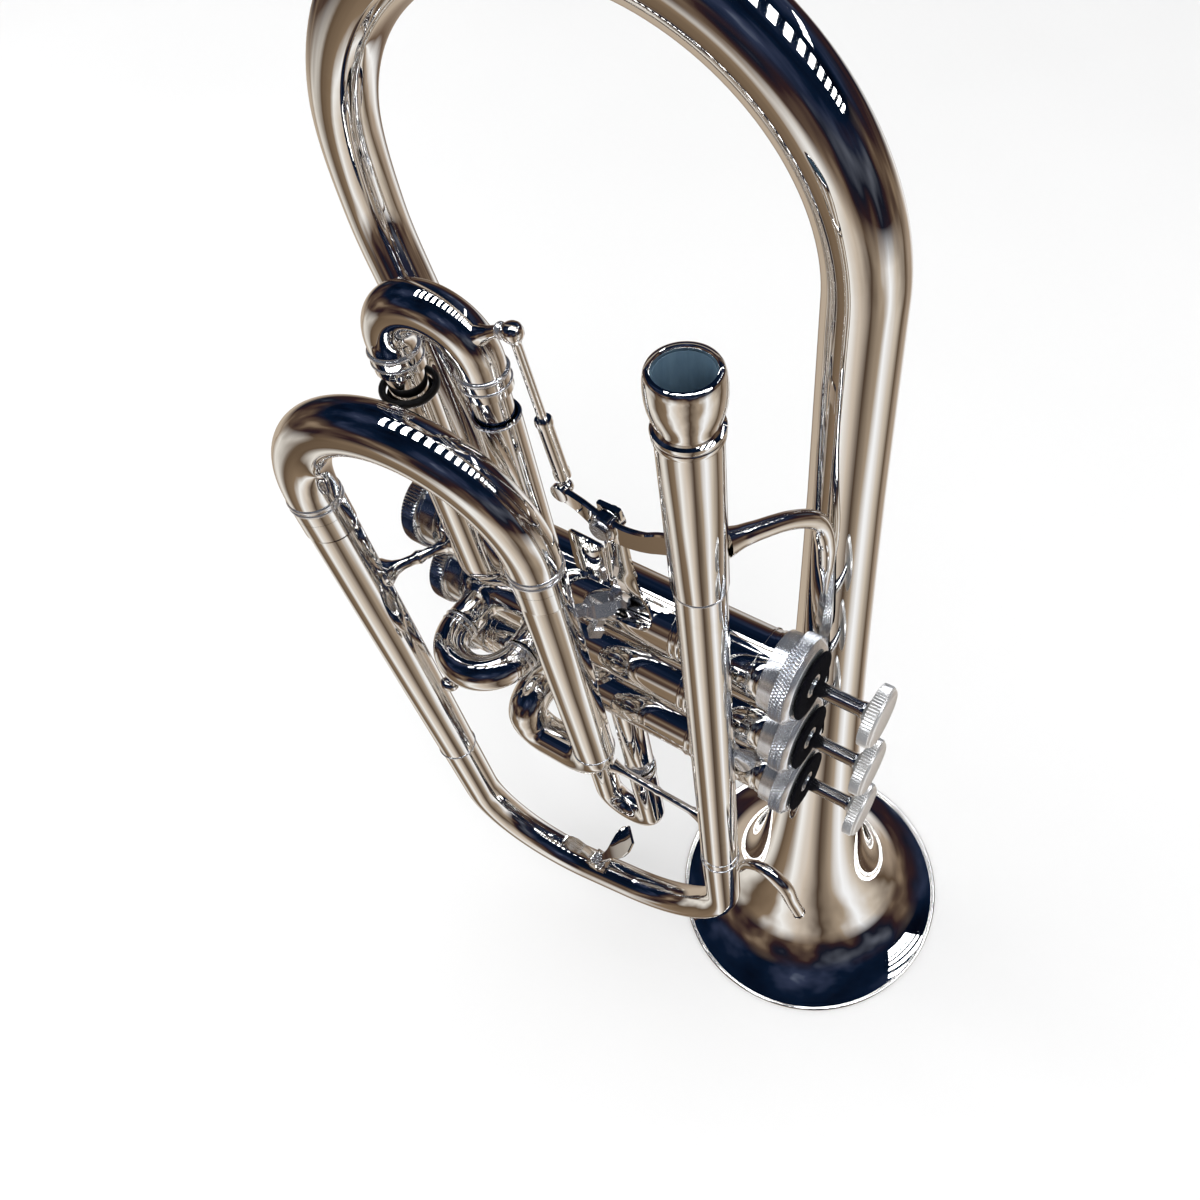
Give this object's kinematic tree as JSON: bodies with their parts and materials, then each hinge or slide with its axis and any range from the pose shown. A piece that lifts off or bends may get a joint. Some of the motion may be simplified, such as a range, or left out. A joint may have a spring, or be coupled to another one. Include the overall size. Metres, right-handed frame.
{
  "type": "flugelhorn",
  "caption": "Silver-plated flugelhorn with piston valves, tuning slides, slide trigger, finger hook, water key and flared conical bell.",
  "frame": {"origin": "centre of the object's footprint box, on the plane of the bell rim that it stands on", "axes": "+Z from the bell rim up towards the mouthpiece receiver, +X along the pistons towards the finger buttons, +Y towards the player's left"},
  "size_m": [0.1844, 0.1188, 0.3708],
  "materials": {
    "silver_plate": "silver plated brass, polished to a mirror",
    "turned_plate": "silver plated brass, turned and knurled",
    "steel": "ground nickel alloy and spring steel",
    "felt": "black wool felt",
    "rubber": "black rubber ring"
  },
  "bodies": {
    "horn": {"valve_casing_1": "silver_plate", "valve_casing_2": "silver_plate", "valve_casing_3": "silver_plate", "knuckle_1_2": "silver_plate", "knuckle_2_3": "silver_plate", "bell": "silver_plate", "bell_bow": "silver_plate", "mouthpiece_receiver": "silver_plate", "leadpipe": "silver_plate", "front_bow": "silver_plate", "lower_tube": "silver_plate", "main_slide_outer_tube": "silver_plate", "third_valve_knuckle": "silver_plate", "first_slide_lower_sleeve": "silver_plate", "first_slide_upper_sleeve": "silver_plate", "second_slide_lower_sleeve": "silver_plate", "second_slide_upper_sleeve": "silver_plate", "third_slide_lower_sleeve": "silver_plate", "third_slide_upper_sleeve": "silver_plate", "trigger_bracket": "silver_plate", "finger_hook": "silver_plate", "water_key_saddle": "silver_plate", "bell_brace": "silver_plate", "valve_brace": "silver_plate", "leadpipe_brace": "silver_plate", "slide_brace": "silver_plate", "top_cap_1": "turned_plate", "bottom_cap_1": "turned_plate", "valve_spring_1": "steel", "cap_felt_1": "felt", "top_cap_2": "turned_plate", "bottom_cap_2": "turned_plate", "valve_spring_2": "steel", "cap_felt_2": "felt", "top_cap_3": "turned_plate", "bottom_cap_3": "turned_plate", "valve_spring_3": "steel", "cap_felt_3": "felt", "trigger_pivot_screw": "steel"},
    "main_slide": {"main_slide_crook": "silver_plate", "main_slide_lower_leg": "silver_plate", "main_slide_upper_leg": "silver_plate"},
    "first_slide": {"first_slide_crook": "silver_plate", "first_slide_lower_leg": "silver_plate", "first_slide_upper_leg": "silver_plate", "first_slide_bumper": "rubber"},
    "second_slide": {"second_slide_crook": "silver_plate"},
    "third_slide": {"third_slide_crook": "silver_plate"},
    "trigger": {"trigger_lever": "silver_plate"},
    "trigger_rod": {"trigger_rod": "steel"},
    "water_key": {"water_key_lever": "silver_plate"},
    "piston_1": {"piston_1": "steel", "piston_stem_1": "turned_plate", "finger_button_1": "turned_plate"},
    "piston_2": {"piston_2": "steel", "piston_stem_2": "turned_plate", "finger_button_2": "turned_plate"},
    "piston_3": {"piston_3": "steel", "piston_stem_3": "turned_plate", "finger_button_3": "turned_plate"}
  },
  "joints": [
    {"name": "piston_1_travel", "type": "slide", "parent": "horn", "child": "piston_1", "axis": [-1, 0, 0], "range_m": [0, 0.0135], "stiffness_N_per_m": 90, "springref_m": -0.018, "deforming": ["valve_spring_1"]},
    {"name": "piston_2_travel", "type": "slide", "parent": "horn", "child": "piston_2", "axis": [-1, 0, 0], "range_m": [0, 0.0135], "stiffness_N_per_m": 90, "springref_m": -0.018, "deforming": ["valve_spring_2"]},
    {"name": "piston_3_travel", "type": "slide", "parent": "horn", "child": "piston_3", "axis": [-1, 0, 0], "range_m": [0, 0.0135], "stiffness_N_per_m": 90, "springref_m": -0.018, "deforming": ["valve_spring_3"]},
    {"name": "main_slide_pull", "type": "slide", "parent": "horn", "child": "main_slide", "axis": [0, 0, 1], "range_m": [0, 0.03]},
    {"name": "second_slide_pull", "type": "slide", "parent": "horn", "child": "second_slide", "axis": [0, -1, 0], "range_m": [0, 0.005]},
    {"name": "third_slide_pull", "type": "slide", "parent": "horn", "child": "third_slide", "axis": [0, 0, -1], "range_m": [0, 0.025]},
    {"name": "trigger_turn", "type": "hinge", "parent": "horn", "child": "trigger", "pos_m": [-0.0067, -0.0319, 0.2585], "axis": [0, 1, 0], "range_deg": [0, 35]},
    {"name": "first_slide_pull", "type": "slide", "parent": "horn", "child": "first_slide", "axis": [0, 0, 1], "range_m": [0, 0.0055], "stiffness_N_per_m": 120, "springref_m": -0.006},
    {"name": "trigger_rod_turn", "type": "hinge", "parent": "first_slide", "child": "trigger_rod", "pos_m": [-0.022, -0.0298, 0.305], "axis": [0, 1, 0], "range_deg": [-8, 0]},
    {"name": "water_key_turn", "type": "hinge", "parent": "horn", "child": "water_key", "pos_m": [-0.0372, -0.04668, 0.0443], "axis": [0, 1, 0], "range_deg": [0, 18], "stiffness_Nm_per_rad": 0.02, "springref_deg": -28.65}
  ],
  "couplings": [
    {"joint": "trigger_turn", "follows": "first_slide_pull", "rad_per_m": 111},
    {"joint": "trigger_rod_turn", "follows": "first_slide_pull", "rad_per_m": -22.2}
  ]
}
